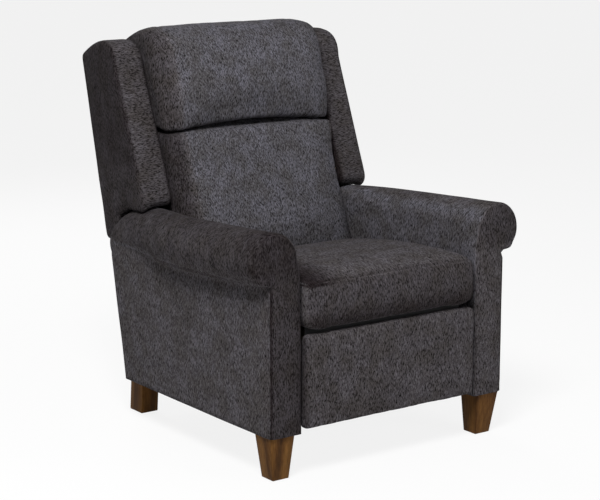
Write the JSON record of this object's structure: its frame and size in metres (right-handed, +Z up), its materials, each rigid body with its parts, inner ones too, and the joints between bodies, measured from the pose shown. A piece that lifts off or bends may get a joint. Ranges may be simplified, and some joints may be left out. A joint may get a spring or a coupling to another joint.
{
  "type": "push-back recliner armchair",
  "caption": "Push-back recliner armchair with rolled arms, wings, loose-look back cushions and a folding footrest on tapered wooden legs.",
  "frame": {"origin": "on the floor under the middle of the chair's box", "axes": "+Z up, the front of the chair faces -Y, +X to the right of somebody facing its front"},
  "size_m": [0.846, 0.9738, 1.05],
  "materials": {
    "upholstery_fabric": "woven heather chenille, vertical grain",
    "frame_wood": "sawn",
    "walnut": "satin lacquer",
    "black_cloth": "matte non-woven",
    "black_plastic": "matte",
    "white_plastic": "matte",
    "zinc_steel": "zinc plated"
  },
  "bodies": {
    "base": {"arm_roll_left": "upholstery_fabric", "arm_roll_right": "upholstery_fabric", "arm_panels_left": "upholstery_fabric", "arm_panels_right": "upholstery_fabric", "arm_facing_left": "upholstery_fabric", "arm_facing_right": "upholstery_fabric", "arm_frame_left": "frame_wood", "arm_frame_right": "frame_wood", "front_leg_left": "walnut", "front_leg_right": "walnut", "rear_leg_left": "walnut", "rear_leg_right": "walnut", "leg_hanger_bolts": "zinc_steel", "leg_glides": "black_plastic", "rear_rail": "upholstery_fabric", "corner_blocks": "frame_wood", "base_stretcher": "frame_wood", "base_plate_left": "zinc_steel", "base_plate_right": "zinc_steel", "guide_studs": "zinc_steel", "guide_washers": "white_plastic", "base_plate_screws": "zinc_steel", "dust_cover": "black_cloth"},
    "seat": {"seat_plate_left": "zinc_steel", "seat_plate_right": "zinc_steel", "seat_side_rails": "frame_wood", "seat_front_rail": "frame_wood", "seat_rear_rail": "frame_wood", "seat_springs": "zinc_steel", "seat_spring_clips": "zinc_steel", "seat_deck": "black_cloth", "seat_rail_bolts": "zinc_steel", "seat_cushion": "upholstery_fabric"},
    "rear_links": {"rear_link_left": "zinc_steel", "rear_link_right": "zinc_steel", "footrest_torque_tube": "zinc_steel"},
    "cross_links": {"cross_link_left": "zinc_steel", "cross_link_right": "zinc_steel"},
    "short_links": {"short_link_left": "zinc_steel", "short_link_right": "zinc_steel"},
    "footrest": {"front_link_left": "zinc_steel", "front_link_right": "zinc_steel", "footrest_board": "frame_wood", "footrest_screws": "zinc_steel", "footrest_pad": "upholstery_fabric"},
    "back": {"back_post_left": "frame_wood", "back_post_right": "frame_wood", "back_rails": "frame_wood", "back_webbing": "black_cloth", "back_bracket_left": "zinc_steel", "back_bracket_right": "zinc_steel", "outside_back": "upholstery_fabric", "wing_board_left": "frame_wood", "wing_board_right": "frame_wood", "wing_left": "upholstery_fabric", "wing_right": "upholstery_fabric", "lumbar_cushion": "upholstery_fabric", "head_cushion": "upholstery_fabric"}
  },
  "joints": [
    {"name": "back_recline", "type": "hinge", "parent": "seat", "child": "back", "pos_m": [0, 0.19313, 0.33], "axis": [-1, 0, 0], "range_deg": [0, 25]},
    {"name": "seat_slide", "type": "slide", "parent": "base", "child": "seat", "axis": [0, -0.9903, 0.1392], "range_m": [0, 0.05]},
    {"name": "footrest_extend", "type": "hinge", "parent": "seat", "child": "rear_links", "pos_m": [0, -0.37687, 0.331], "axis": [-1, 0, 0], "range_deg": [0, 78]},
    {"name": "cross_link_pivot", "type": "hinge", "parent": "rear_links", "child": "cross_links", "pos_m": [0, -0.39389, 0.23449], "axis": [-1, 0, 0], "range_deg": [-156, 0]},
    {"name": "short_link_pivot", "type": "hinge", "parent": "rear_links", "child": "short_links", "pos_m": [0, -0.41091, 0.13798], "axis": [-1, 0, 0], "range_deg": [-156, 0]},
    {"name": "footrest_pivot", "type": "hinge", "parent": "short_links", "child": "footrest", "pos_m": [0, -0.41433, 0.23592], "axis": [-1, 0, 0], "range_deg": [0, 156]}
  ],
  "couplings": [
    {"joint": "seat_slide", "follows": "back_recline", "m_per_rad": 0.11459},
    {"joint": "cross_link_pivot", "follows": "footrest_extend", "ratio": -2},
    {"joint": "short_link_pivot", "follows": "footrest_extend", "ratio": -2},
    {"joint": "footrest_pivot", "follows": "footrest_extend", "ratio": 2}
  ]
}
